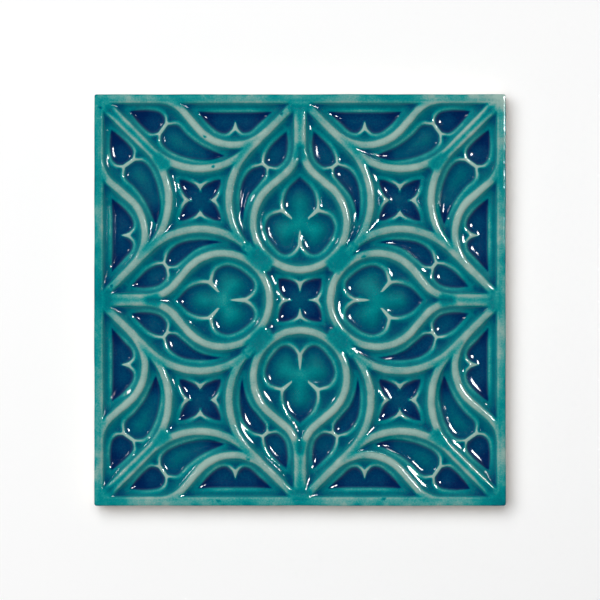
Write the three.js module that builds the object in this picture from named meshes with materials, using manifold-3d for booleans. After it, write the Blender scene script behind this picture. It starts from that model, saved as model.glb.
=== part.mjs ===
// A square ceramic tile with a raised Gothic tracery pattern on its glazed face.
// Millimetres. The back lies on z = 0 with its centre at the origin; the pattern faces +Z.

import * as THREE from "three";
import { mergeVertices } from "three/addons/utils/BufferGeometryUtils.js";
import Module from "manifold-3d";

// The blank
const SIDE = 152;
const THICKNESS = 12;
const ARRIS = 0.5;

// Levels, each measured down from the one above it
const RIB_HEIGHT = 1.8;
const FOIL_DEPTH = 1.6;

// Widths of the raised work
const BORDER_WIDTH = 3.0;
const RIB_CREST = 2.2;
const RIB_SLOPE = 0.9;
const FILLET_CREST = 1.0;
const FILLET_SLOPE = 0.6;
const SPUR_CREST = 0.8;
const SPUR_SLOPE = 0.35;

// How far a rib's root runs down into the body below the foils' floors
const ROOT = 2.0;

// Smoothness of the curves
const ARC_STEP = 12;
const SPLINE_STEPS = 2;

// The tracery is drawn on a tile of this side and follows the real side
const DRAWN_SIDE = 152;
const SCALE = SIDE / DRAWN_SIDE;
const HALF = SIDE / 2;

// Petal: an ogee arch standing on the vertical axis
const PETAL_CENTRE = 28.5;
const PETAL_RADIUS = 17.3;
const OGEE_TURN = 49.6;
const OGEE_RADIUS = 13;
const PETAL_NECK = 0.9;
const OGEE_END = 74;

// Half ogee lying along each edge of the tile
const EDGE_OGEE = { x: 24.5, y: 74.5, start: 225, neck: 0.5, reach: 66 };

// Arc outside the petal, with the straight that climbs to the middle of the edge
const OUTER_ARC = { x: -0.8, y: 37, radius: 27, from: -47, to: 45, end: [1.4, 73] };

// Arc that runs to the corner beside the diagonal
const CORNER_ARC = { x: 37.1, y: 74.45, radius: 26, from: 225, to: 311, end: [72, 73] };

const KNOT = 36.9;
const XY = (x, y) => new THREE.Vector2(x * SCALE, y * SCALE);
const rad = THREE.MathUtils.degToRad;

// Points along a round stretch, counter-clockwise where "to" is larger than "from"
function arc(x, y, radius, from, to) {
  const steps = Math.max(2, Math.ceil(Math.abs(to - from) / ARC_STEP));
  const curve = new THREE.EllipseCurve(x, y, radius, radius, rad(from), rad(to), to < from);
  return curve.getPoints(steps).map((p) => XY(p.x, p.y));
}

// One side of an ogee whose round belly is centred on (0, 0) and whose neck points along +Y
function ogeeSide(fromAngle, neck, endHeight) {
  const turn = rad(OGEE_TURN);
  const belly = new THREE.Vector2(Math.cos(turn), Math.sin(turn)).multiplyScalar(PETAL_RADIUS);
  const run = neck + OGEE_RADIUS * (1 - Math.cos(turn));
  const rise = belly.y + ((belly.x - run) / Math.sin(turn)) * Math.cos(turn);
  const neckY = rise + OGEE_RADIUS * Math.sin(turn);
  return [
    ...arc(0, 0, PETAL_RADIUS, fromAngle, OGEE_TURN),
    ...arc(neck + OGEE_RADIUS, neckY, OGEE_RADIUS, 180 + OGEE_TURN, 180),
    XY(neck, endHeight),
  ];
}

const shifted = (points, x, y) => points.map((p) => p.clone().add(XY(x, y)));

const petal = shifted(ogeeSide(-90, PETAL_NECK, OGEE_END - PETAL_CENTRE), 0, PETAL_CENTRE);
const edgeSide = ogeeSide(EDGE_OGEE.start - 270, EDGE_OGEE.neck, EDGE_OGEE.reach - EDGE_OGEE.x);
const edgeOgee = shifted(edgeSide.map((p) => new THREE.Vector2(p.y, -p.x)), EDGE_OGEE.x, EDGE_OGEE.y);

function arcAndStraight({ x, y, radius, from, to, end }) {
  return [...arc(x, y, radius, from, to), XY(...end)];
}

const RIBS = [petal, edgeOgee, arcAndStraight(OUTER_ARC), arcAndStraight(CORNER_ARC)];

// Solid places where ribs run together
const HUBS = [
  [[0, 51.9], [2.3, 52.6], [1, 57], [-1, 57], [-2.3, 52.6]],
  [[11.4, 11.4], [10.4, 14.2], [13.3, 17.4], [16, 18.6], [18.6, 16], [17.4, 13.3], [14.2, 10.4]],
  [[48.7, 48.7], [48.2, 51], [52, 54], [54, 52], [51, 48.2]],
  [[-2, 74], [-2, 70], [2, 70], [2, 74]],
  [[71.2, 71.2], [71.2, 74.6], [74.6, 74.6], [74.6, 71.2]],
];

// Foils: each is a loop of lobes, and neighbouring lobes meet in a cusp or a pointed tip
const TREFOIL = [
  [[0, 21], [3, 17.2], [6, 16.1], [9.5, 18.2], [12.6, 22.6], [13.7, 27.3], [11.8, 31.2], [6.6, 33.2]],
  [[6.6, 33.2], [6.6, 37], [4.8, 41.6], [0, 46]],
];
const UPPER_MOUCHETTE = [
  [[12, 49], [8.2, 48.8], [5, 51.9], [4, 57.2], [4.7, 63]],
  [[4.7, 63], [8, 60.4], [11.7, 56.7], [13.4, 53.2], [13.8, 50.4]],
  [[13.8, 50.4], [12, 49]],
];
const LOWER_MOUCHETTE = [
  [[13.8, 50.4], [18.4, 48.7], [21.5, 44.5], [22.8, 37.5], [22.3, 31.5], [21, 27]],
  [[21, 27], [20.4, 32], [18.2, 38.3], [14.6, 42.8], [12.2, 46], [12, 49]],
  [[12, 49], [13.8, 50.4]],
];
const SMALL_CORNER_MOUCHETTE = [
  [[63.5, 70], [60, 70.5], [56, 70.7], [51.6, 69.9], [49.6, 67.8], [49.3, 65.2]],
  [[49.3, 65.2], [52, 61.4]],
  [[52, 61.4], [55.2, 61.1], [58.2, 63.2], [60.8, 66.2], [63.5, 70]],
];
const LARGE_CORNER_MOUCHETTE = [
  [[49.3, 65.2], [45, 65.2], [41.2, 61.5], [36.6, 58], [27, 53.2]],
  [[27, 53.2], [34, 51], [42, 52], [49.3, 55.1], [51.8, 58], [52, 61.4]],
  [[52, 61.4], [49.3, 65.2]],
];
const EDGE_FOIL = [
  [[38.2, 70.2], [9.5, 70.2]],
  [[9.5, 70.2], [14.6, 65], [18.3, 61.7], [21.3, 61.3], [23.9, 63.5]],
  [[23.9, 63.5], [26.8, 61.1], [30, 61.4], [34.2, 64.6], [38.2, 70.2]],
];
const QUARTER_LOBE = [[0, 6.2], [1.9, 7.8], [4.2, 8.6], [8.8, 8.8]];
const KNOT_LOBE = [[0, 6.2], [2, 7.8], [4.2, 8.6], [9, 9]];

// Short points on the cusps, from root to tip
const SPURS = {
  trefoilSide: [[6.8, 33.3], [3.3, 30.5]],
  trefoilFoot: [[0, 20.6], [0, 24.2]],
  edge: [[23.9, 63.1], [23.9, 66.1]],
  quatrefoil: [[0, 6.6], [0, 3.7]],
};

// Turns an outline by quarters of a circle about the tile's centre, mirrored first if asked
function placed(points, quarters, mirrored) {
  const angle = (quarters * Math.PI) / 2;
  const centre = new THREE.Vector2();
  return points.map((p) => new THREE.Vector2(mirrored ? -p.x : p.x, p.y).rotateAround(centre, angle));
}

function fourTurns(points) {
  return [0, 1, 2, 3].map((quarters) => placed(points, quarters, false));
}

function allEight(points) {
  return [...fourTurns(points), ...fourTurns(placed(points, 0, true))];
}

// A curved lobe through its drawn points
function lobe(drawn) {
  const points = drawn.map(([x, y]) => new THREE.Vector3(x, y, 0));
  if (points.length === 2) return points.map((p) => XY(p.x, p.y));
  const curve = new THREE.CatmullRomCurve3(points, false, "centripetal");
  return curve.getPoints(SPLINE_STEPS * (points.length - 1)).map((p) => XY(p.x, p.y));
}

const mirroredLobes = (lobes) => lobes.map((run) => run.map(([x, y]) => [-x, y]).reverse()).reverse();

// Direction square to the run at point i, to its left, lengthened where the run bends
function leftward(points, i) {
  const before = points[Math.max(i - 1, 0)];
  const here = points[i];
  const after = points[Math.min(i + 1, points.length - 1)];
  const a = i > 0 ? here.clone().sub(before).normalize() : after.clone().sub(here).normalize();
  const b = i < points.length - 1 ? after.clone().sub(here).normalize() : a.clone();
  const middle = a.clone().add(b).normalize();
  return new THREE.Vector2(-middle.y, middle.x).divideScalar(Math.max(middle.dot(a), 0.5));
}

const offsetRun = (points, distance) =>
  points.map((p, i) => p.clone().addScaledVector(leftward(points, i), distance));

// Where two straight pieces cross, or null
function crossing(a, b, c, d) {
  const r = b.clone().sub(a);
  const s = d.clone().sub(c);
  const across = r.cross(s);
  if (Math.abs(across) < 1e-9) return null;
  const gap = c.clone().sub(a);
  const t = gap.cross(s) / across;
  const u = gap.cross(r) / across;
  return t >= 0 && t <= 1 && u >= 0 && u <= 1 ? a.clone().addScaledVector(r, t) : null;
}

// Joins the end of one run to the start of the next: trimmed at a tip, rounded at a cusp
function joint(run, next, corner, distance) {
  for (let j = 0; j < next.length - 1; j += 1) {
    for (let i = run.length - 2; i >= 0; i -= 1) {
      const point = crossing(run[i], run[i + 1], next[j], next[j + 1]);
      if (point) return { keep: i + 1, drop: j + 1, point };
    }
  }
  const middle = run.at(-1).clone().add(next[0]).multiplyScalar(0.5).sub(corner);
  return { keep: run.length, drop: 0, point: corner.clone().add(middle.setLength(Math.abs(distance))) };
}

// Outline that runs inside a loop of lobes at an even distance
function insideLoop(lobes, distance) {
  const runs = lobes.map(lobe);
  const area = THREE.ShapeUtils.area(runs.flat());
  const inward = Math.sign(area) * distance;
  const moved = runs.map((run) => offsetRun(run, inward));
  const joints = moved.map((run, i) => joint(run, moved[(i + 1) % runs.length], runs[i].at(-1), distance));
  return moved.flatMap((run, i) => {
    const start = joints.at(i - 1).drop;
    return [...run.slice(start, joints[i].keep), joints[i].point];
  });
}

// Outline of a band of even or tapering width along a run
function ribbon(points, startWidth, endWidth = startWidth) {
  const half = (i) => THREE.MathUtils.lerp(startWidth, endWidth, i / (points.length - 1)) / 2;
  const left = points.map((p, i) => p.clone().addScaledVector(leftward(points, i), half(i)));
  const right = points.map((p, i) => p.clone().addScaledVector(leftward(points, i), -half(i)));
  return [...left, ...right.reverse()];
}

const box = (half) => [[-half, -half], [half, -half], [half, half], [-half, half]].map((p) => new THREE.Vector2(...p));

const wasm = await Module();
wasm.setup();

// Rounding to a ten-thousandth of a millimetre makes level faces meet exactly
const GRID = 1e4;

function solid(geometry) {
  geometry.deleteAttribute("normal");
  geometry.deleteAttribute("uv");
  const positions = geometry.getAttribute("position");
  positions.array.forEach((v, i) => { positions.array[i] = Math.round(v * GRID) / GRID; });
  const merged = mergeVertices(geometry);
  const vertProperties = merged.getAttribute("position").array;
  const triVerts = new Uint32Array(merged.index.array);
  return new wasm.Manifold(new wasm.Mesh({ numProp: 3, vertProperties, triVerts }));
}

// A raised piece: flat top at z = top, sloping out by "slope" over "rise", rooted in the body
function raised(outline, top, slope, rise, root) {
  const geometry = new THREE.ExtrudeGeometry(new THREE.Shape(outline), {
    depth: root, bevelEnabled: true, bevelSegments: 1, bevelSize: slope, bevelThickness: rise,
  });
  return solid(geometry.translate(0, 0, top - root - rise));
}

// A hollow: flat floor at z = floor, its wall sloping out by "slope" over "rise"
function hollow(outline, floor, slope, rise) {
  const geometry = new THREE.ExtrudeGeometry(new THREE.Shape(outline), {
    depth: rise, bevelEnabled: true, bevelSegments: 1, bevelSize: slope, bevelThickness: rise,
  });
  return solid(geometry.translate(0, 0, floor + rise));
}

const LEDGE = THICKNESS - RIB_HEIGHT;
const FLOOR = LEDGE - FOIL_DEPTH;

function blank() {
  const outline = new THREE.Shape(box(HALF - ARRIS));
  const geometry = new THREE.ExtrudeGeometry(outline, {
    depth: THICKNESS - 2 * ARRIS, bevelEnabled: true, bevelSegments: 2, bevelSize: ARRIS, bevelThickness: ARRIS,
  });
  return solid(geometry.translate(0, 0, ARRIS));
}

function well() {
  return hollow(box(HALF - BORDER_WIDTH - RIB_SLOPE), LEDGE, RIB_SLOPE, RIB_HEIGHT);
}

function foils() {
  const inset = FILLET_CREST / 2 + FILLET_SLOPE;
  const cut = (outline) => hollow(outline, FLOOR, FILLET_SLOPE, FOIL_DEPTH);
  const trefoil = insideLoop([...TREFOIL, ...mirroredLobes(TREFOIL)], inset);
  const mouchettes = [UPPER_MOUCHETTE, LOWER_MOUCHETTE, SMALL_CORNER_MOUCHETTE, LARGE_CORNER_MOUCHETTE];
  const sided = [...mouchettes, EDGE_FOIL].map((lobes) => insideLoop(lobes, inset));
  const centre = insideLoop(quatrefoil(QUARTER_LOBE), inset);
  const knot = shifted(insideLoop(quatrefoil(KNOT_LOBE), inset), KNOT, KNOT);
  return [...fourTurns(trefoil), ...sided.flatMap(allEight), centre, ...fourTurns(knot)].map(cut);
}

// The eight half lobes of a quatrefoil, from one
function quatrefoil(half) {
  const other = half.map(([x, y]) => [y, x]).reverse();
  const turn = ([x, y]) => [y, -x];
  const lobes = [half, other];
  for (let i = 0; i < 3; i += 1) lobes.push(...lobes.slice(-2).map((run) => run.map(turn)));
  return lobes;
}

function ribs() {
  const stand = (outline) => raised(outline, THICKNESS, RIB_SLOPE, RIB_HEIGHT, FOIL_DEPTH + ROOT);
  const bands = RIBS.map((run) => ribbon(run, RIB_CREST)).flatMap(allEight);
  const hubs = HUBS.map((outline) => outline.map((p) => XY(...p))).flatMap(fourTurns);
  return [...bands, ...hubs].map(stand);
}

function spurs() {
  const outline = (drawn) => ribbon(drawn.map((p) => XY(...p)), SPUR_CREST, SPUR_CREST / 2);
  const four = fourTurns(outline(SPURS.quatrefoil));
  const knots = four.flatMap((points) => fourTurns(shifted(points, KNOT, KNOT)));
  const outlines = [
    ...allEight(outline(SPURS.trefoilSide)),
    ...fourTurns(outline(SPURS.trefoilFoot)),
    ...allEight(outline(SPURS.edge)),
    ...four,
    ...knots,
  ];
  return outlines.map((points) => raised(points, LEDGE, SPUR_SLOPE, FOIL_DEPTH, ROOT));
}

function reliefTile() {
  const hollows = wasm.Manifold.union([well(), ...foils()]);
  const raisedWork = wasm.Manifold.union([...ribs(), ...spurs()]);
  const mesh = blank().subtract(hollows).add(raisedWork).getMesh();
  const geometry = new THREE.BufferGeometry();
  geometry.setAttribute("position", new THREE.BufferAttribute(mesh.vertProperties, 3));
  geometry.setIndex(new THREE.BufferAttribute(mesh.triVerts, 1));
  geometry.computeVertexNormals();
  return geometry;
}

const glaze = new THREE.MeshStandardMaterial({ color: 0x0a7480, roughness: 0.12, metalness: 0 });

const tile = new THREE.Mesh(reliefTile(), glaze);
tile.name = "relief_tile";

const model = new THREE.Group();
model.add(tile);

export default model;
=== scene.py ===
# A square relief tile under a translucent teal glaze, lying face up on a pale floor.
# The glaze is thin and pale on the ribs, and pools to a deep blue in the hollows.
import math

import bpy
import numpy as np
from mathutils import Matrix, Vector
from mathutils.geometry import delaunay_2d_cdt


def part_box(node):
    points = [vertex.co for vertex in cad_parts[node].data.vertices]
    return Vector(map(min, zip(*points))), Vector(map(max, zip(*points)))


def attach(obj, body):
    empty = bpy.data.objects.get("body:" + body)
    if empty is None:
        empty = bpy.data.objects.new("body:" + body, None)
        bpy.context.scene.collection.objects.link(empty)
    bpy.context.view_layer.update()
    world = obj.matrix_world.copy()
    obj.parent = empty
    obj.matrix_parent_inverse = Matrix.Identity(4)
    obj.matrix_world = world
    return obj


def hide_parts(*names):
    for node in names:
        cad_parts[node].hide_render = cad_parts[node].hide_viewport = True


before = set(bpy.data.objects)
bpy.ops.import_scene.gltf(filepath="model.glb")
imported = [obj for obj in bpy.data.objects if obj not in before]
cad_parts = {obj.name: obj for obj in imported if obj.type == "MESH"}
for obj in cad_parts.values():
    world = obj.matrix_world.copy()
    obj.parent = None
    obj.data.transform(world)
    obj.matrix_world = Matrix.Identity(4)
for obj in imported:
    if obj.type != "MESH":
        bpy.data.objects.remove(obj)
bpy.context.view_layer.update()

MM = 0.001
SEED = 7

# The tracery is drawn in millimetres on one eighth of the tile: x from 0 to y, y up to the edge
TILE_LOW, TILE_HIGH = (np.array(corner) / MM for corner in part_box("relief_tile"))
HALF = TILE_HIGH[0]
RIB_TOP = TILE_HIGH[2]
RIB_HEIGHT = 1.8
FOIL_DEPTH = 1.6
LEDGE = RIB_TOP - RIB_HEIGHT

# Primary tracery
PETAL_CENTRE = 28.5
PETAL_RADIUS = 17.3
OGEE_TURN = 49.6
OGEE_RADIUS = 13.0
PETAL_NECK = 0.9
PETAL_TOP = 74
EDGE_NECK = 0.5
EDGE_CENTRE = (24.5, 74.5)
EDGE_START = -45
EDGE_REACH = 66
OUTER_CENTRE = (-0.8, 37.0)
OUTER_RADIUS = 27.0
OUTER_SWEEP = (-47, 45)
OUTER_END = (1.4, 73.0)
CORNER_CENTRE = (37.1, 74.45)
CORNER_RADIUS = 26.0
CORNER_SWEEP = (225, 311)
CORNER_END = (72.0, 73.0)
KNOT = 36.9

# Sections, in millimetres from the middle of a line
RIB_CREST = 0.88
RIB_FOOT = 2.12
RIB_BLEND = 0.8
BORDER_FOOT = 4.05
BORDER_CREST = 2.85
GROOVE_INSET = 2.2
GROOVE_WIDTH = 0.35
FILLET_WIDTH = 0.84
SPUR_WIDTH = 0.95
SPUR_TAPER = 0.65
BRIDGE_WIDTH = 0.6
SEAM_WIDTH = 0.85
FAINT_SEAM = 0.35
EYE_WIDTH = 1.0
EYE_STRENGTH = 1.1
WALL_FOOT = (0.15, 1.2)

# How far, in millimetres, the form changes around cusps, pointed tips and crowded ribs
CUSP_REACH = 3.2
FILLET_FADE = 5.5
WALL_FADE = 6
POOL_FADE = 8
CROWD_REACH = 1.8
CROWDING = (0.68, 0.9)
PAIR_EASE = 0.7
NARROW_REACH = 2.2
NARROWNESS = (0.36, 0.6)

# Heights of the clay, in millimetres
EYE_DEPTH = 0.5
DOME_BLUR = 1.3
DOME_START = 1.6
DOME_LIMIT = 5.5
DOME_RISE = 0.18
FILLET_RISE = 0.4
SPUR_RISE = 0.5
CROWD_DROP = 0.35
GROOVE_DROP = 0.2
SEAM_DROP = 0.3
RIM_DROP = 0.4
RIM_EASE = 0.7

# Depths of the glaze, on the scale of GLAZE_STOPS
LEDGE_GLAZE = 1.8
EYE_GLAZE = 0.75
NARROW_GLAZE = 0.9
WALL_GLAZE_AND_PAINTED_SHADE = 0.14
# Deeper glaze at the foot of foil walls: partly real pooling, partly painted shade in that crease
WALL_LINE = 1.3
WALL_SPREAD = 0.55
FILLET_THINNING = 0.42
# Thinner glaze on the rim, partly real and partly painted light against the shade of its sloping edge
RIM_THINNING_AND_PAINTED_LIGHT = 0.35
RIM_THIN_WIDTH = 0.8
SPUR_GLAZE = 0.6
CREST_GLAZE = 1.32
SEAM_GLAZE = 0.45
GROOVE_GLAZE = 0.16
BORDER_GLAZE = 0.06
CROWD_GLAZE = 0.5
OUTER_GLAZE = 0.07
EDGE_THINNING = 0.05
RIB_FADE = 1.3
SETTLING = 0.31
SETTLING_REACH = 3.6

# Strength and size of the random waves
SURFACE_WAVES = [(0.012, 2.5), (0.006, 0.8)]
DEPTH_WAVES = [(0.05, 5), (0.05, 0.9)]
PINHOLES = 9
PINHOLE_SIZE = 0.36
PINHOLE_GLAZE = 2.4
PINHOLE_DEPTH = 0.25

# Blurs that round the surface, and that soften the glaze's edges
HOLLOW_BLUR = 0.9
CREST_BLUR = 0.45
GLAZE_BLUR = 0.12

# Sampling
CELL = 0.1
REACH = 9.0


# Curves

def arc(centre, radius, start, stop, step=4.0):
    count = max(2, math.ceil(abs(stop - start) / step)) + 1
    angle = np.radians(np.linspace(start, stop, count))
    return np.column_stack([centre[0] + radius * np.cos(angle), centre[1] + radius * np.sin(angle)])


def spline(drawn, steps=6):
    """A centripetal curve through drawn points."""
    points = np.array(drawn, float)
    if len(points) == 2:
        return points
    points = np.vstack([2 * points[0] - points[1], points, 2 * points[-1] - points[-2]])
    pieces = []
    for p0, p1, p2, p3 in zip(points, points[1:], points[2:], points[3:]):
        spans = [np.linalg.norm(b - a) for a, b in ((p0, p1), (p1, p2), (p2, p3))]
        knots = np.cumsum([0.0, *np.sqrt(spans)])
        t = np.linspace(knots[1], knots[2], steps, endpoint=False)[:, None]

        def blend(a, b, low, high):
            return ((high - t) * a + (t - low) * b) / (high - low)

        first = blend(p0, p1, knots[0], knots[1])
        middle = blend(p1, p2, knots[1], knots[2])
        last = blend(p2, p3, knots[2], knots[3])
        left = blend(first, middle, knots[0], knots[2])
        right = blend(middle, last, knots[1], knots[3])
        pieces.append(blend(left, right, knots[1], knots[2]))
    return np.vstack(pieces + [points[-2:-1]])


def ogee(start, neck, end):
    """One side of an ogee with its belly centred on (0, 0) and its neck pointing along +Y."""
    turn = math.radians(OGEE_TURN)
    belly_x, belly_y = PETAL_RADIUS * math.cos(turn), PETAL_RADIUS * math.sin(turn)
    run = neck + OGEE_RADIUS * (1 - math.cos(turn))
    rise = belly_y + (belly_x - run) / math.sin(turn) * math.cos(turn)
    neck_y = rise + OGEE_RADIUS * math.sin(turn)
    belly = arc((0, 0), PETAL_RADIUS, start, OGEE_TURN)
    throat = arc((neck + OGEE_RADIUS, neck_y), OGEE_RADIUS, 180 + OGEE_TURN, 180)
    return np.vstack([belly, throat, [[neck, end]]])


def rib_lines():
    """Middle lines of the petal, the edge ogee, the outer arc and the corner arc."""
    petal = ogee(-90, PETAL_NECK, PETAL_TOP - PETAL_CENTRE) + [0, PETAL_CENTRE]
    upright = ogee(EDGE_START, EDGE_NECK, EDGE_REACH - EDGE_CENTRE[0])
    edge = np.column_stack([upright[:, 1], -upright[:, 0]]) + EDGE_CENTRE
    outer = np.vstack([arc(OUTER_CENTRE, OUTER_RADIUS, *OUTER_SWEEP), [OUTER_END]])
    corner = np.vstack([arc(CORNER_CENTRE, CORNER_RADIUS, *CORNER_SWEEP), [CORNER_END]])
    return [petal, edge, outer, corner]


# Outlines of the junctions where ribs meet
HUBS = [
    [[0, 51.9], [2.3, 52.6], [1, 57], [-1, 57], [-2.3, 52.6]],
    [[11.4, 11.4], [10.4, 14.2], [13.3, 17.4], [16, 18.6], [18.6, 16], [17.4, 13.3], [14.2, 10.4]],
    [[48.7, 48.7], [48.2, 51], [52, 54], [54, 52], [51, 48.2]],
    [[-2, 74], [-2, 70], [2, 70], [2, 74]],
    [[71.2, 71.2], [71.2, 74.6], [74.6, 74.6], [74.6, 71.2]],
]

# Foils: loops of lobes that meet in cusps or pointed tips
TREFOIL_HALF = [
    [[0, 20.6], [1.5, 18.3], [3.2, 16.8], [5.5, 16.2], [7.8, 17.1], [10.4, 19.8], [12.5, 23.1],
     [13.4, 27.3], [11.5, 31.3], [6.6, 33.2]],
    [[6.6, 33.2], [6.6, 37], [4.8, 41.6], [0, 46]],
]
UPPER_MOUCHETTE = [
    [[12, 49], [8.2, 48.8], [5, 51.9], [4, 57.2], [4.7, 63]],
    [[4.7, 63], [8, 60.4], [11.7, 56.7], [13.4, 53.2], [13.8, 50.4]],
    [[13.8, 50.4], [12, 49]],
]
LOWER_MOUCHETTE = [
    [[13.8, 50.4], [18.4, 48.7], [21.5, 44.5], [22.8, 37.5], [22.3, 31.5], [21, 27]],
    [[21, 27], [20.4, 32], [18.2, 38.3], [14.6, 42.8], [12.2, 46], [12, 49]],
    [[12, 49], [13.8, 50.4]],
]
SMALL_CORNER_MOUCHETTE = [
    [[63.5, 70], [60, 70.5], [56, 70.7], [51.6, 69.9], [49.6, 67.8], [49.3, 65.2]],
    [[49.3, 65.2], [52, 61.4]],
    [[52, 61.4], [55.2, 61.1], [58.2, 63.2], [60.8, 66.2], [63.5, 70]],
]
LARGE_CORNER_MOUCHETTE = [
    [[49.3, 65.2], [45, 65.2], [41.2, 61.5], [36.6, 58], [27, 53.2]],
    [[27, 53.2], [34, 51], [42, 52], [49.3, 55.1], [51.8, 58], [52, 61.4]],
    [[52, 61.4], [49.3, 65.2]],
]
EDGE_FOIL = [
    [[38.2, 69.9], [9.5, 69.9]],
    [[9.5, 69.9], [14.6, 65], [18.3, 61.7], [21.3, 61.3], [23.9, 63.5]],
    [[23.9, 63.5], [26.8, 61.1], [30, 61.4], [34.2, 64.6], [38.2, 69.9]],
]
CENTRE_LOBE = [[0, 6.0], [1.4, 7.0], [3.1, 7.8], [5.5, 8.3], [8.3, 8.3]]
KNOT_LOBE = [[0, 5.0], [1.5, 6.2], [3.5, 7.1], [5.6, 7.8], [8.0, 8.0]]

# Cusp points, each from its root to its end
SPURS = [
    [[6.2, 32.9], [3.2, 30.3]],
    [[0, 21.2], [0, 24.9]],
    [[23.9, 63.7], [23.9, 65.6]],
    [[0, 5.8], [0, 3.9]],
    [[KNOT, KNOT + 4.9], [KNOT, KNOT + 4.2]],
    [[KNOT, KNOT - 4.9], [KNOT, KNOT - 4.2]],
    [[KNOT + 4.9, KNOT], [KNOT + 4.2, KNOT]],
    [[KNOT - 4.9, KNOT], [KNOT - 4.2, KNOT]],
]
# Bars between two mouchettes
BRIDGES = [[[12, 49], [13.8, 50.4]], [[49.3, 65.2], [52, 61.4]]]
# Channels between ribs that run side by side
SEAMS = [[[53.5, 53.5], [70, 70]], [[0, 50.5], [0, 56]]]
FAINT_SEAMS = [
    [[0, 56], [0, 70]],
    [[18.5, 18.5], [23.5, 23.5]],
    [[16, 59.6], [18.3, 58.2], [20.5, 55.4], [24, 50.5]],
]
# Small hollows beside the ends of the bridges
EYES = [[47.9, 66.8], [53.5, 60.0], [10.9, 47.4], [15.4, 51.3]]
CUSPS = [spur[0] for spur in SPURS] + BRIDGES[0] + BRIDGES[1]
# Pointed tips of the foils
TIPS = [
    [0, 46], [4.7, 63], [21, 27], [63.5, 70], [27, 53.2], [38.2, 69.9], [9.5, 69.9], [8.2, 8.2],
    [KNOT + 8.2, KNOT + 8.2], [KNOT - 8.2, KNOT + 8.2], [KNOT - 8.2, KNOT - 8.2],
]


def mirrored(lobes):
    """The lobes across x = 0, in the order that closes the loop."""
    return [[[-x, y] for x, y in run][::-1] for run in lobes][::-1]


def quatrefoil(half, centre=0.0):
    """Four lobes around (centre, centre), from half of one."""
    lobes = [half, [[y, x] for x, y in half][::-1]]
    for _ in range(3):
        lobes += [[[y, -x] for x, y in run] for run in lobes[-2:]]
    return [[[x + centre, y + centre] for x, y in run] for run in lobes]


# Each foil with the depth of glaze on its floor, how much deeper the glaze is in its pointed tips,
# and how fast it thins towards the middle of a wide floor
FOILS = [
    (TREFOIL_HALF + mirrored(TREFOIL_HALF), 2.08, 0.95, 0.2),
    (UPPER_MOUCHETTE, 2.28, 1.2, 0.1),
    (LOWER_MOUCHETTE, 2.02, 2.9, 0.1),
    (SMALL_CORNER_MOUCHETTE, 2.58, 1.9, 0.1),
    (LARGE_CORNER_MOUCHETTE, 1.6, 2.8, 0.2),
    (EDGE_FOIL, 2.6, 1.5, 0.1),
    (quatrefoil(CENTRE_LOBE), 2.5, 1.3, 0.1),
    (quatrefoil(KNOT_LOBE, KNOT), 2.5, 1.3, 0.1),
]


def images(line):
    """A line with its mirror images across the two sides of the eighth."""
    line = np.asarray(line, float)
    return [line, line * [-1, 1], line[:, ::-1]]


def all_images(lines):
    return [image for line in lines for image in images(line)]


def closed(loop):
    return np.vstack([loop, loop[:1]])


# Distances on the eighth, worked out only where they may be under REACH

def distance(x, y, line):
    """Distance from each point to a line of straight pieces."""
    out = np.full(x.shape, REACH)
    low, high = line.min(axis=0) - REACH, line.max(axis=0) + REACH
    near = (x > low[0]) & (x < high[0]) & (y > low[1]) & (y < high[1])
    px, py = x[near], y[near]
    best = np.full(px.shape, REACH * REACH)
    for (ax, ay), (bx, by) in zip(line[:-1], line[1:]):
        dx, dy = bx - ax, by - ay
        length = max(dx * dx + dy * dy, 1e-12)
        t = np.clip(((px - ax) * dx + (py - ay) * dy) / length, 0, 1)
        np.minimum(best, (px - ax - t * dx) ** 2 + (py - ay - t * dy) ** 2, out=best)
    out[near] = np.sqrt(best)
    return out


def within(x, y, loop):
    """Whether each point is inside a loop."""
    result = np.zeros(x.shape, bool)
    for (ax, ay), (bx, by) in zip(loop, np.roll(loop, -1, axis=0)):
        if ay != by:
            result ^= ((ay > y) != (by > y)) & (x < (bx - ax) * (y - ay) / (by - ay) + ax)
    return result


def nearest(x, y, lines):
    out = np.full(x.shape, REACH)
    for line in lines:
        np.minimum(out, distance(x, y, line), out=out)
    return out


def tapered(x, y, spur):
    """1 on a spur, which narrows towards its end, 0 away from it."""
    (start_x, start_y), (run_x, run_y) = spur[0], spur[1] - spur[0]
    along_spur = (x - start_x) * run_x + (y - start_y) * run_y
    t = np.clip(along_spur / (run_x ** 2 + run_y ** 2), 0, 1)
    return np.exp(-(distance(x, y, spur) / (SPUR_WIDTH * (1 - SPUR_TAPER * t))) ** 3)


def smooth(low, high, value):
    """0 below low, 1 above high, and a soft step between."""
    t = np.clip((value - low) / (high - low), 0, 1)
    return t * t * (3 - 2 * t)


def close_to(away, width):
    """1 at no distance, fading to 0 beyond the width."""
    return np.exp(-(away / width) ** 2)


def soft_max(a, b, width):
    """The larger of two values, blended where they are within a width of each other."""
    t = np.clip(0.5 + 0.5 * (a - b) / width, 0, 1)
    return b + (a - b) * t + width * t * (1 - t)


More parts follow.
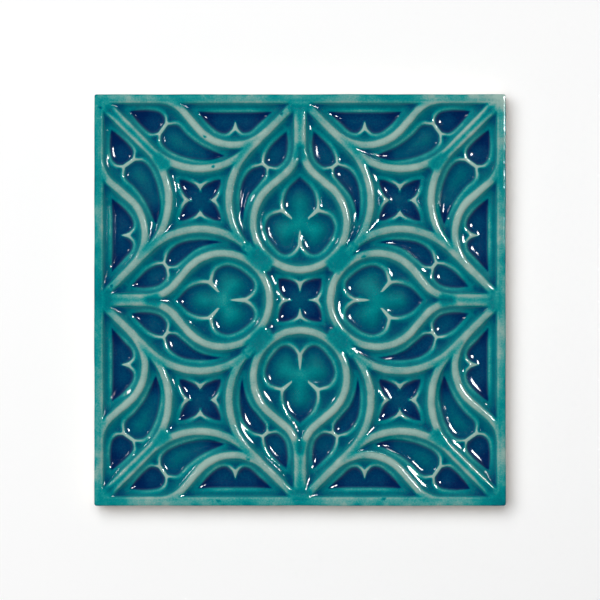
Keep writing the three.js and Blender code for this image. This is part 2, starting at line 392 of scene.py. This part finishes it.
class Places:
    """Distances from every point of the eighth to the lines of the tracery."""

    def __init__(self, x, y, ribs, foils):
        self.edge = HALF - np.maximum(np.abs(x), np.abs(y))
        self.rib = nearest(x, y, all_images(ribs))
        self.edge_rib, self.outer_rib = (nearest(x, y, images(line)) for line in ribs[1:3])
        self.hub = np.full(x.shape, REACH)
        for outline in all_images(HUBS):
            away = distance(x, y, closed(outline)) * np.where(within(x, y, outline), -1, 1)
            np.minimum(self.hub, away, out=self.hub)
        self.fillet = np.full(x.shape, REACH)
        self.deep = np.zeros(x.shape)
        self.pool, self.tip_pool, self.thinning = np.zeros((3, *x.shape))
        for loop, (_, pool, tip_pool, thinning) in zip(foils, FOILS):
            for image in images(loop):
                away = distance(x, y, closed(image))
                inside = within(x, y, image)
                np.minimum(self.fillet, away, out=self.fillet)
                np.maximum(self.deep, away * inside, out=self.deep)
                self.pool[inside], self.tip_pool[inside], self.thinning[inside] = pool, tip_pool, thinning
        self.spurs = np.exp(-(nearest(x, y, all_images(BRIDGES)) / BRIDGE_WIDTH) ** 4)
        for spur in all_images(SPURS):
            np.maximum(self.spurs, tapered(x, y, spur), out=self.spurs)
        self.seam = nearest(x, y, all_images(SEAMS))
        self.faint_seam = nearest(x, y, all_images(FAINT_SEAMS))
        self.tip = nearest(x, y, all_images([[p, p] for p in TIPS]))
        self.eye = nearest(x, y, all_images([[p, p] for p in EYES]))
        self.by_cusp = close_to(nearest(x, y, all_images([[p, p] for p in CUSPS])), CUSP_REACH)

    def plateau(self):
        """1 on the crests of ribs, hubs and border, 0 from their feet outwards."""
        width = RIB_FOOT - RIB_CREST
        ribs = soft_max(RIB_FOOT - self.rib, width - self.hub, RIB_BLEND) / width
        border = (BORDER_FOOT - self.edge) / (BORDER_FOOT - BORDER_CREST)
        return smooth(0, 1, np.maximum(ribs, border))

    def junction(self):
        """1 well inside the hubs, fading out around them."""
        return smooth(-1.8, 1.0, -self.hub)

    def open_ledge(self):
        """1 where the ledge is far from ribs and fillets, as it is behind the cusps."""
        beside_fillet = (self.fillet - 0.5 + 0.2 * self.by_cusp) * (1 + 0.8 * self.by_cusp)
        free = np.where(self.deep > 0, 0, beside_fillet)
        for away in (self.rib - RIB_FOOT, self.edge - BORDER_FOOT, self.hub):
            free = np.minimum(free, away)
        return np.maximum(smooth(0.3, 1.5, free), EYE_STRENGTH * close_to(self.eye, EYE_WIDTH))

    def ridge(self):
        """Strength of the fillet: full by the cusps, fading into the pointed tips."""
        strength = (1 - 0.85 * close_to(self.tip, FILLET_FADE)) * (1 + 1.4 * self.by_cusp)
        narrowing = np.where(self.deep > 0, 0.3, 0.5) * self.by_cusp
        return strength * close_to(self.fillet, FILLET_WIDTH * (1 - narrowing))

    def pair(self):
        """1 along the faint seams, where two ribs run side by side or part."""
        return smooth(-3, -1.5, -self.faint_seam)

    def wall(self):
        """How far the wall of a foil reaches in, which is less in the narrow tips."""
        return 1.05 - 0.45 * close_to(self.tip, WALL_FADE)

    def seams(self):
        """Strength of the channel between two ribs that run side by side."""
        main, faint = (close_to(away, SEAM_WIDTH) for away in (self.seam, self.faint_seam))
        return np.maximum(main, FAINT_SEAM * faint)

    def floor_glaze(self):
        """Depth of glaze on the floors of the foils, deepest in their tips."""
        return self.pool + self.tip_pool * close_to(self.tip, POOL_FADE)

    def rib_glaze(self):
        """How much more glaze the outer arcs hold, and how much less the edge ogees."""
        outer, edge = (close_to(away, RIB_FADE) for away in (self.outer_rib, self.edge_rib))
        return OUTER_GLAZE * outer - EDGE_THINNING * edge


def full_tile(eighth_grid):
    """Grid of the whole tile from the quadrant grid."""
    upper = np.hstack([eighth_grid[:, ::-1], eighth_grid])
    return np.vstack([upper[::-1], upper])


def blurred(grid, sigma):
    """Gaussian blur of a full-tile grid, with its edges carried on outwards."""
    pad = int(4 * sigma / CELL) + 2
    wide = np.pad(grid, pad, mode="edge")
    fy = np.fft.fftfreq(wide.shape[0], CELL)[:, None]
    fx = np.fft.rfftfreq(wide.shape[1], CELL)[None, :]
    kernel = np.exp(-2 * (math.pi * sigma) ** 2 * (fx * fx + fy * fy))
    return np.fft.irfft2(np.fft.rfft2(wide) * kernel, s=wide.shape)[pad:-pad, pad:-pad]


def waves(rng, shape, kinds):
    """Smooth random waves, a layer for each strength and size."""
    total = np.zeros(shape)
    for strength, sigma in kinds:
        layer = blurred(rng.standard_normal(shape), sigma)
        total += strength * layer / layer.std()
    return total


class Relief:
    """Clay, glaze surface and glaze depth over the whole tile."""

    def __init__(self):
        count = round(HALF / CELL)
        axis = (np.arange(count) + 0.5) * CELL
        x, y = np.meshgrid(axis, axis)
        eighth = y >= x - CELL
        self.ribs = rib_lines()
        self.foils = [np.vstack([spline(run)[:-1] for run in lobes]) for lobes, *_ in FOILS]
        places = Places(x[eighth], y[eighth], self.ribs, self.foils)

        def whole(values):
            grid = np.zeros(x.shape)
            grid[eighth] = values
            return full_tile(np.where(eighth, grid, grid.T))

        self.edge, self.deep, self.up = whole(places.edge), whole(places.deep), whole(places.plateau())
        self.eye, self.ridge = whole(places.open_ledge()), whole(places.ridge())
        self.spurs = whole(places.spurs)
        self.seam, self.wall = whole(places.seams()), whole(places.wall())
        self.pool, self.thinning = whole(places.floor_glaze()), whole(places.thinning)
        self.rib_glaze = whole(places.rib_glaze())
        # Where ribs run together their common top is broad, a little lower, and holds more glaze
        crossing = smooth(*CROWDING, blurred(self.up, CROWD_REACH)) * (1 - PAIR_EASE * whole(places.pair()))
        self.crowd = np.maximum(crossing, whole(places.junction()))
        self.dome = np.clip(blurred(self.deep, DOME_BLUR) - DOME_START, 0, DOME_LIMIT)
        self.groove = close_to(self.edge - GROOVE_INSET, GROOVE_WIDTH)

        clay = self.clay_height()
        rng = np.random.default_rng(SEED)
        # The glaze rounds the clay under it, most of all in the hollows
        rounded = blurred(clay, HOLLOW_BLUR)
        rounded += (blurred(clay, CREST_BLUR) - rounded) * self.up
        self.surface = rounded + waves(rng, clay.shape, SURFACE_WAVES)
        self.depth = self.glaze_depth(clay) + waves(rng, clay.shape, DEPTH_WAVES)
        self.add_pinholes(rng)

    def clay_height(self):
        clay = LEDGE - EYE_DEPTH * self.eye - FOIL_DEPTH * smooth(*WALL_FOOT, self.deep)
        clay += DOME_RISE * self.dome + FILLET_RISE * self.ridge
        clay += np.maximum(0, LEDGE + SPUR_RISE - clay) * self.spurs
        drop = CROWD_DROP * self.crowd * (self.edge > BORDER_FOOT)
        drop += GROOVE_DROP * self.groove + SEAM_DROP * self.seam
        top = LEDGE + (RIB_HEIGHT - drop) * self.up
        clay = np.where(self.up > 0, np.maximum(clay, top), clay)
        return clay - RIM_DROP * (1 - smooth(0, RIM_EASE, self.edge))

    def glaze_depth(self, clay):
        narrow = smooth(*NARROWNESS, blurred(self.up, NARROW_REACH)) * (1 - self.up)
        glaze = LEDGE_GLAZE + EYE_GLAZE * self.eye + NARROW_GLAZE * narrow
        floor = self.pool - self.thinning * np.clip(self.dome - 1, 0, None)
        glaze += (floor - glaze) * smooth(0.2, self.wall, self.deep)
        # It stands deeper along the foot of each wall, which also paints shade into that crease, and
        # thinner on fillets, rim and spurs, which on the rim also paints light onto its shaded slope
        glaze += WALL_GLAZE_AND_PAINTED_SHADE * close_to(self.deep - WALL_LINE, WALL_SPREAD)
        # On the rim the thinner glaze is also painted light, lifting the shade of the sloping edge
        glaze -= FILLET_THINNING * self.ridge + RIM_THINNING_AND_PAINTED_LIGHT * (1 - smooth(0, RIM_THIN_WIDTH, self.edge))
        glaze += np.minimum(SPUR_GLAZE - glaze, 0) * self.spurs
        # On the crests it is thin, but less so in seams, groove and crowded places
        off_border = smooth(BORDER_FOOT - 1, BORDER_FOOT + 1, self.edge)
        crest = CREST_GLAZE + SEAM_GLAZE * self.seam + GROOVE_GLAZE * self.groove + self.rib_glaze
        crest += BORDER_GLAZE * (self.edge < BORDER_FOOT)
        crest += CROWD_GLAZE * self.crowd * (0.25 + 0.75 * off_border)
        glaze += (crest - glaze) * self.up
        # It settles from high places into low ones
        return blurred(glaze, GLAZE_BLUR) - SETTLING * (clay - blurred(clay, SETTLING_REACH))

    def add_pinholes(self, rng):
        """A few pinholes on the ribs."""
        crests = np.argwhere(self.up > 0.99)
        rows, columns = np.indices(self.up.shape)
        for row, column in crests[rng.choice(len(crests), PINHOLES, replace=False)]:
            pit = close_to(np.hypot(rows - row, columns - column) * CELL, PINHOLE_SIZE)
            self.depth += PINHOLE_GLAZE * pit
            self.surface -= PINHOLE_DEPTH * pit

    def sample(self, grid, points):
        """Values of a grid at points in millimetres."""
        last = grid.shape[0] - 1
        column = np.clip((points[:, 0] + HALF) / CELL - 0.5, 0, last - 1e-6)
        row = np.clip((points[:, 1] + HALF) / CELL - 0.5, 0, last - 1e-6)
        i, j = row.astype(int), column.astype(int)
        v, u = row - i, column - j
        low = grid[i, j] * (1 - u) + grid[i, j + 1] * u
        high = grid[i + 1, j] * (1 - u) + grid[i + 1, j + 1] * u
        return low * (1 - v) + high * v


# Mesh points: rows that run along every rib and fillet, so that the facets follow the tracery

# Distances of the rows from their line, and the steps along them, in millimetres
RIB_ROWS = [0, 0.5, 0.9, 1.2, 1.5, 1.8, 2.15]
FILLET_ROWS = [0, 0.3, 0.6, 0.95, 1.3]
SPUR_ROWS = [0, 0.4, 0.8]
BORDER_ROWS = [0, 0.12, 0.3, 0.6, 1.1, 1.8, 2.5, 2.85, 3.2, 3.6, 4.0]
RIB_STEP = 0.85
FILLET_STEP = 0.62
SPUR_STEP = 0.5
BORDER_STEPS = 100
FILL_STEP = 1.15
FILL_ROW_RATIO = 0.88

# How near points may come to a side of the eighth, to other rows and to each other
ROW_SNAP = 0.2
FILL_SNAP = 0.3
ROW_SLACK = 0.04
LEAST_GAP = 0.27
FILL_GAP = 0.75
LEAST_AREA = 1e-7


def along(line, step):
    """Points at even steps along a line, with the direction to its left."""
    pieces = np.diff(line, axis=0)
    lengths = np.linalg.norm(pieces, axis=1)
    travelled = np.concatenate([[0], np.cumsum(lengths)])
    count = max(2, round(travelled[-1] / step))
    stations = np.linspace(0, travelled[-1], count + 1)
    points = np.column_stack([np.interp(stations, travelled, line[:, k]) for k in (0, 1)])
    tangents = np.gradient(points, axis=0)
    tangents /= np.linalg.norm(tangents, axis=1)[:, None]
    return points, np.column_stack([-tangents[:, 1], tangents[:, 0]])


def row_points(lines, offsets, step):
    """Points on rows beside lines, where no other line is nearer."""
    everything = all_images(lines)
    kept = []
    for offset in offsets:
        for line in lines:
            points, left = along(line, step)
            for side in ((1, -1) if offset else (1,)):
                row = points + left * offset * side
                clear = nearest(row[:, 0], row[:, 1], everything) > offset - ROW_SLACK
                kept.append(row[clear])
    return np.vstack(kept)


def snapped(points, gap):
    """Points of the eighth; those close to its sides are moved onto them."""
    x, y = points.T.copy()
    x[np.abs(x) < gap] = 0
    middle = (x + y) / 2
    close = np.abs(y - x) < gap * 1.4
    x[close] = y[close] = middle[close]
    keep = (x >= 0) & (y >= x) & (y <= HALF)
    return np.column_stack([x, y])[keep]


class Cells:
    """Points sorted into square cells, to find those within a gap."""

    def __init__(self, gap, points=()):
        self.gap = gap
        self.cells = {}
        for x, y in points:
            self.add(x, y)

    def place(self, x, y):
        return int(x / self.gap), int(y / self.gap)

    def add(self, x, y):
        self.cells.setdefault(self.place(x, y), []).append((x, y))

    def free(self, x, y):
        """Whether no point lies within the gap of (x, y)."""
        i, j = self.place(x, y)
        around = [(i + a, j + b) for a in (-1, 0, 1) for b in (-1, 0, 1)]
        near = (point for cell in around for point in self.cells.get(cell, ()))
        return all((x - px) ** 2 + (y - py) ** 2 >= self.gap ** 2 for px, py in near)


def thinned(points):
    """Points in order, leaving out each that lies too near one before it."""
    cells = Cells(LEAST_GAP)
    kept = []
    for x, y in points.tolist():
        if cells.free(x, y):
            cells.add(x, y)
            kept.append((x, y))
    return np.array(kept)


def eighth_mesh(relief):
    """Points and triangles of the eighth: rows along the tracery, and a plain fill between them."""
    steps = np.arange(0, HALF + 1e-6, HALF / BORDER_STEPS)
    border = [np.column_stack([steps, np.full(steps.shape, HALF - inset)]) for inset in BORDER_ROWS]
    sides = [[0.0, 0.0], [0.0, HALF], [HALF, HALF]]
    loops = [closed(loop) for loop in relief.foils]
    spurs = [np.array(spur, float) for spur in SPURS]
    rows = [
        np.vstack([sides, *border]),
        row_points(relief.ribs, RIB_ROWS, RIB_STEP),
        row_points(loops, FILLET_ROWS, FILLET_STEP),
        row_points(spurs, SPUR_ROWS, SPUR_STEP),
    ]
    grid = np.arange(0, HALF, FILL_STEP)
    x, y = np.meshgrid(grid, grid * FILL_ROW_RATIO)
    x = x + (np.arange(len(grid)) % 2)[:, None] * FILL_STEP / 2
    fill = snapped(np.column_stack([x.ravel(), y.ravel()]), FILL_SNAP)
    diagonal = np.column_stack([grid, grid])
    upright = np.column_stack([np.zeros(len(grid)), grid])
    detailed = thinned(np.vstack([snapped(points, ROW_SNAP) for points in rows]))
    points = thinned(np.vstack([detailed, diagonal, upright, fill]))
    cells = Cells(FILL_GAP, detailed.tolist())
    clear = [k < len(detailed) or cells.free(*point) for k, point in enumerate(points.tolist())]
    points = points[clear]
    triangles = delaunay_2d_cdt([Vector(p) for p in points], [], [], 0, 1e-6)[2]
    return points, np.array(triangles)


def face_mesh(relief):
    """The tile's face in plan: points and triangles, counter-clockwise from above."""
    points, triangles = eighth_mesh(relief)
    corners = points[triangles]
    area = np.cross(corners[:, 1] - corners[:, 0], corners[:, 2] - corners[:, 0])
    whole = np.abs(area) > LEAST_AREA
    triangles, area = triangles[whole], area[whole]
    triangles[area < 0] = triangles[area < 0][:, ::-1]
    all_points, all_triangles = [], []
    for swap in (False, True):
        for flip_x in (1, -1):
            for flip_y in (1, -1):
                first = len(points) * len(all_points)
                turned = swap ^ (flip_x * flip_y < 0)
                all_triangles.append((triangles[:, ::-1] if turned else triangles) + first)
                all_points.append((points[:, ::-1] if swap else points) * [flip_x, flip_y])
    plan = np.round(np.vstack(all_points), 5) + 0.0
    plan, index = np.unique(plan, axis=0, return_inverse=True)
    return plan, index.reshape(-1)[np.vstack(all_triangles)]


# The tile

# Height of each ring down the sides, and how much of it the glaze covers
SIDE_RINGS = [
    (10.9, 1.0), (9.8, 0.85), (8.6, 0.68), (7.4, 0.5), (6.2, 0.32), (5.0, 0.15), (3.0, 0.0), (0.5, 0.0),
    (0.0, 0.0),
]
RING_DROP = 0.2
SIDE_GLAZE = 1.9
SIDE_THINNING = 0.5
BACK_CHAMFER = 0.4
CORNER_ROUND = 0.7
RIM_SWAY = 0.09
RIM_WIDTH = 5.0
RIM_WAVES = (0.045, 0.11, 0.23)
LATEST_PHASE = 6.3


def settled(plan):
    """Points of the plan on a rim that is not quite straight, with rounded corners."""
    rng = np.random.default_rng(SEED + 1)
    x, y = plan.T.copy()
    for here, along_rim in ((x, plan[:, 1]), (y, plan[:, 0])):
        for side in (1, -1):
            sway = sum(np.sin(along_rim * wave + rng.uniform(0, LATEST_PHASE)) for wave in RIM_WAVES)
            near = smooth(HALF - RIM_WIDTH, HALF, side * here)
            here -= side * near * RIM_SWAY * (1 + sway / len(RIM_WAVES))
    round_start = HALF - RIM_SWAY - CORNER_ROUND
    over = np.column_stack([np.abs(x), np.abs(y)]) - round_start
    corner = over.min(axis=1) > 0
    over[corner] *= (over[corner].max(axis=1) / np.linalg.norm(over[corner], axis=1))[:, None]
    x[corner], y[corner] = ((over + round_start) * np.sign(np.column_stack([x, y])))[corner].T
    return np.column_stack([x, y])


def tile_mesh():
    relief = Relief()
    plan, triangles = face_mesh(relief)
    height = relief.sample(relief.surface, plan)
    vertices, depths, covers = [], [relief.sample(relief.depth, plan)], [np.ones(len(plan))]
    around = np.nonzero(np.max(np.abs(plan), axis=1) > HALF - 1e-4)[0]
    around = around[np.argsort(np.arctan2(plan[around, 1], plan[around, 0]))]
    plan = settled(plan)
    vertices.append(np.column_stack([plan, height]))
    faces = [tuple(t) for t in triangles.tolist()]
    upper = around
    for k, (level, cover) in enumerate(SIDE_RINGS):
        inset = 0.0 if level else BACK_CHAMFER
        ring = plan[around] * (1 - inset / HALF)
        vertices.append(np.column_stack([ring, np.minimum(level, height[around] - RING_DROP)]))
        depths.append(np.full(len(ring), SIDE_GLAZE - SIDE_THINNING * smooth(7, 11, level)))
        covers.append(np.full(len(ring), cover))
        lower = np.arange(len(ring)) + len(plan) + k * len(ring)
        corners = (upper, lower, np.roll(lower, -1), np.roll(upper, -1))
        faces += zip(*(corner.tolist() for corner in corners))
        upper = lower
    faces.append(tuple(upper[::-1].tolist()))
    mesh = bpy.data.meshes.new("relief_tile_glazed")
    points = np.clip(np.vstack(vertices), TILE_LOW, TILE_HIGH) * MM
    mesh.from_pydata(points.tolist(), [], faces)
    mesh.update()
    for name, values in (("glaze_depth", depths), ("glaze_cover", covers)):
        attribute = mesh.attributes.new(name, "FLOAT", "POINT")
        attribute.data.foreach_set("value", np.concatenate(values).astype(np.float32))
    # The back and its chamfer are flat, the rest is smooth
    first_flat = len(faces) - len(around) - 1
    mesh.polygons.foreach_set("use_smooth", [k < first_flat for k in range(len(faces))])
    return mesh


# Materials

def srgb(red, green, blue):
    """Linear colour of an 8-bit sRGB one."""
    def linear(v):
        v /= 255
        return v / 12.92 if v <= 0.04045 else ((v + 0.055) / 1.055) ** 2.4
    return (linear(red), linear(green), linear(blue), 1.0)


# Colours of the bare fired clay, its darkest and its palest grains
CLAY_DARK = (186, 166, 140)
CLAY_PALE = (222, 207, 184)

# Grain of each noise, in cells to the metre
MOTTLE_GRAIN = 1500
CLOUD_GRAIN = 160
RUN_GRAIN = 140
CLAY_GRAIN = 700
GLOSS_GRAIN = 90
RIPPLE_GRAIN = 330
FINE_RIPPLE_GRAIN = 1100

# How strongly each shows
MOTTLE = 0.5
CLOUDS = 0.12
RUN = 0.9
FINE_RIPPLE = 0.25
RIPPLE_HEIGHT = 0.08 * MM

GLAZE_EDGE = (0.44, 0.52)
GLAZE_ROUGHNESS = (0.05, 0.14)
CLAY_ROUGHNESS = 0.75

# Colour of the fired glaze against its optical depth, from nearly bare clay to the deepest pools
GLAZE_STOPS = [
    (0.80, (150, 180, 171)), (1.00, (125, 164, 157)), (1.15, (82, 154, 150)), (1.32, (32, 143, 141)),
    (1.50, (2, 131, 134)), (1.70, (1, 118, 126)), (2.10, (1, 98, 112)), (2.65, (1, 75, 103)),
    (3.30, (1, 54, 93)), (4.10, (1, 33, 79)),
]


def glaze_material():
    material = bpy.data.materials.new("teal_glaze")
    material.use_nodes = True
    tree = material.node_tree
    shader = tree.nodes["Principled BSDF"]
    attribute = tree.nodes.new("ShaderNodeAttribute")
    attribute.attribute_name = "glaze_depth"
    place = tree.nodes.new("ShaderNodeTexCoord")

    def noise(scale, detail, roughness=0.5):
        node = tree.nodes.new("ShaderNodeTexNoise")
        node.inputs["Scale"].default_value = scale
        node.inputs["Detail"].default_value = detail
        node.inputs["Roughness"].default_value = roughness
        tree.links.new(place.outputs["Object"], node.inputs["Vector"])
        return node.outputs["Fac"]

    def math_node(operation, first, second):
        node = tree.nodes.new("ShaderNodeMath")
        node.operation = operation
        for socket, value in zip(node.inputs, (first, second)):
            if isinstance(value, (int, float)):
                socket.default_value = value
            else:
                tree.links.new(value, socket)
        return node.outputs["Value"]

    def spread(value, low, high, to_low, to_high):
        node = tree.nodes.new("ShaderNodeMapRange")
        limits = {"From Min": low, "From Max": high, "To Min": to_low, "To Max": to_high}
        for name, number in limits.items():
            node.inputs[name].default_value = number
        tree.links.new(value, node.inputs["Value"])
        return node.outputs["Result"]

    # Fine mottling of the glaze, stronger where it is deep
    mottle = math_node("SUBTRACT", noise(MOTTLE_GRAIN, 3, 0.65), 0.5)
    clouds = math_node("SUBTRACT", noise(CLOUD_GRAIN, 2), 0.5)
    grain = math_node("MULTIPLY", mottle, math_node("MULTIPLY", attribute.outputs["Fac"], MOTTLE))
    change = math_node("ADD", grain, math_node("MULTIPLY", clouds, CLOUDS))
    depth = math_node("ADD", attribute.outputs["Fac"], change)
    ramp = tree.nodes.new("ShaderNodeValToRGB")
    low, high = GLAZE_STOPS[0][0], GLAZE_STOPS[-1][0]
    tree.links.new(spread(depth, low, high, 0, 1), ramp.inputs["Fac"])
    elements = ramp.color_ramp.elements
    positions = [(stop - low) / (high - low) for stop, _ in GLAZE_STOPS]
    for position in positions[1:-1]:
        elements.new(position)
    for element, position, (_, colour) in zip(elements, positions, GLAZE_STOPS):
        element.position = position
        element.color = srgb(*colour)

    # The glaze runs a little way down the sides, over bare clay
    cover = tree.nodes.new("ShaderNodeAttribute")
    cover.attribute_name = "glaze_cover"
    run = math_node("MULTIPLY", math_node("SUBTRACT", noise(RUN_GRAIN, 4, 0.6), 0.5), RUN)
    glazed = spread(math_node("ADD", cover.outputs["Fac"], run), *GLAZE_EDGE, 0, 1)
    clay = tree.nodes.new("ShaderNodeValToRGB")
    tree.links.new(spread(noise(CLAY_GRAIN, 5, 0.7), 0.3, 0.7, 0, 1), clay.inputs["Fac"])
    for element, colour in zip(clay.color_ramp.elements, (CLAY_DARK, CLAY_PALE)):
        element.color = srgb(*colour)
    coat = tree.nodes.new("ShaderNodeMix")
    coat.data_type = "RGBA"
    # The sockets for colours come after those for numbers and vectors
    factor, under, over = coat.inputs[0], coat.inputs[6], coat.inputs[7]
    tree.links.new(glazed, factor)
    tree.links.new(clay.outputs["Color"], under)
    tree.links.new(ramp.outputs["Color"], over)
    tree.links.new(coat.outputs[2], shader.inputs["Base Color"])

    # Glassy with faint unevenness on the glaze, dull on the bare clay
    gloss = spread(noise(GLOSS_GRAIN, 3), 0.35, 0.7, *GLAZE_ROUGHNESS)
    dull = math_node("MULTIPLY", math_node("SUBTRACT", 1, glazed), CLAY_ROUGHNESS)
    tree.links.new(math_node("ADD", gloss, dull), shader.inputs["Roughness"])
    shader.inputs["IOR"].default_value = 1.5
    fine_ripple = math_node("MULTIPLY", noise(FINE_RIPPLE_GRAIN, 2), FINE_RIPPLE)
    ripple = math_node("ADD", noise(RIPPLE_GRAIN, 2), fine_ripple)
    bump = tree.nodes.new("ShaderNodeBump")
    bump.inputs["Strength"].default_value = 1.0
    bump.inputs["Distance"].default_value = RIPPLE_HEIGHT
    tree.links.new(ripple, bump.inputs["Height"])
    tree.links.new(bump.outputs["Normal"], shader.inputs["Normal"])
    return material


def floor_material():
    material = bpy.data.materials.new("pale_floor")
    material.use_nodes = True
    shader = material.node_tree.nodes["Principled BSDF"]
    shader.inputs["Base Color"].default_value = (0.96, 0.96, 0.96, 1)
    shader.inputs["Roughness"].default_value = 0.9
    return material


def make_tile():
    tile = bpy.data.objects.new("glazed_tile", tile_mesh())
    bpy.context.scene.collection.objects.link(tile)
    tile.data.materials.append(glaze_material())
    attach(tile, "root")
    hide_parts("relief_tile")


# Stage

def make_floor():
    bpy.ops.mesh.primitive_plane_add(size=6, location=(0, 0, 0))
    floor = bpy.context.object
    floor.name = "floor"
    floor.data.materials.append(floor_material())


def area_light(name, place, size, power, aim=(0, 0, 0), beam=180, shine=True, fill=True):
    """A softbox; shine and fill say whether it is mirrored in gloss and lights dull surfaces."""
    light = bpy.data.lights.new(name, "AREA")
    light.shape = "RECTANGLE"
    light.size, light.size_y = size
    light.energy = power
    light.spread = math.radians(beam)
    lamp = bpy.data.objects.new(name, light)
    lamp.location = place
    lamp.rotation_euler = (Vector(aim) - Vector(place)).to_track_quat("-Z", "Y").to_euler()
    lamp.visible_glossy = shine
    lamp.visible_diffuse = fill
    bpy.context.scene.collection.objects.link(lamp)


def make_lights():
    area_light("overhead_softbox", (-0.32, 0.32, 1.5), (1.1, 1.1), 27.5, shine=False)
    # Its beam is narrow, so that its glints fade towards the left of the tile
    area_light("right_window", (0.36, 0.14, 0.48), (0.13, 0.22), 0.17, (0.08, 0, 0), 24, fill=False)
    area_light("left_window", (-0.75, 0.45, 0.6), (0.07, 0.1), 0.55, fill=False)
    world = bpy.data.worlds.new("studio")
    bpy.context.scene.world = world
    world.use_nodes = True
    tree = world.node_tree
    background = tree.nodes["Background"]
    background.inputs["Color"].default_value = (1, 1, 1, 1)
    # Pale walls all round, and a dark ceiling that the flat glaze mirrors back to the camera
    direction = tree.nodes.new("ShaderNodeTexCoord")
    parts = tree.nodes.new("ShaderNodeSeparateXYZ")
    fade = tree.nodes.new("ShaderNodeMapRange")
    for name, number in (("From Min", 0.25), ("From Max", 0.75), ("To Min", 0.3), ("To Max", 0.0)):
        fade.inputs[name].default_value = number
    tree.links.new(direction.outputs["Generated"], parts.inputs["Vector"])
    tree.links.new(parts.outputs["Z"], fade.inputs["Value"])
    tree.links.new(fade.outputs["Result"], background.inputs["Strength"])


CAMERA_HEIGHT = 1.2
SENSOR_WIDTH = 36

# In the photograph's frame of 600 pixels the face is 412 pixels wide
VIEW_WIDTH = 0.152 * 600 / 412


def make_camera():
    camera = bpy.data.cameras.new("camera")
    camera.sensor_width = SENSOR_WIDTH
    camera.lens = SENSOR_WIDTH * (CAMERA_HEIGHT - RIB_TOP * MM) / VIEW_WIDTH
    viewer = bpy.data.objects.new("camera", camera)
    viewer.location = (0, 0, CAMERA_HEIGHT)
    bpy.context.scene.collection.objects.link(viewer)
    bpy.context.scene.camera = viewer


make_tile()
make_floor()
make_lights()
make_camera()
bpy.context.scene.view_settings.view_transform = "Standard"
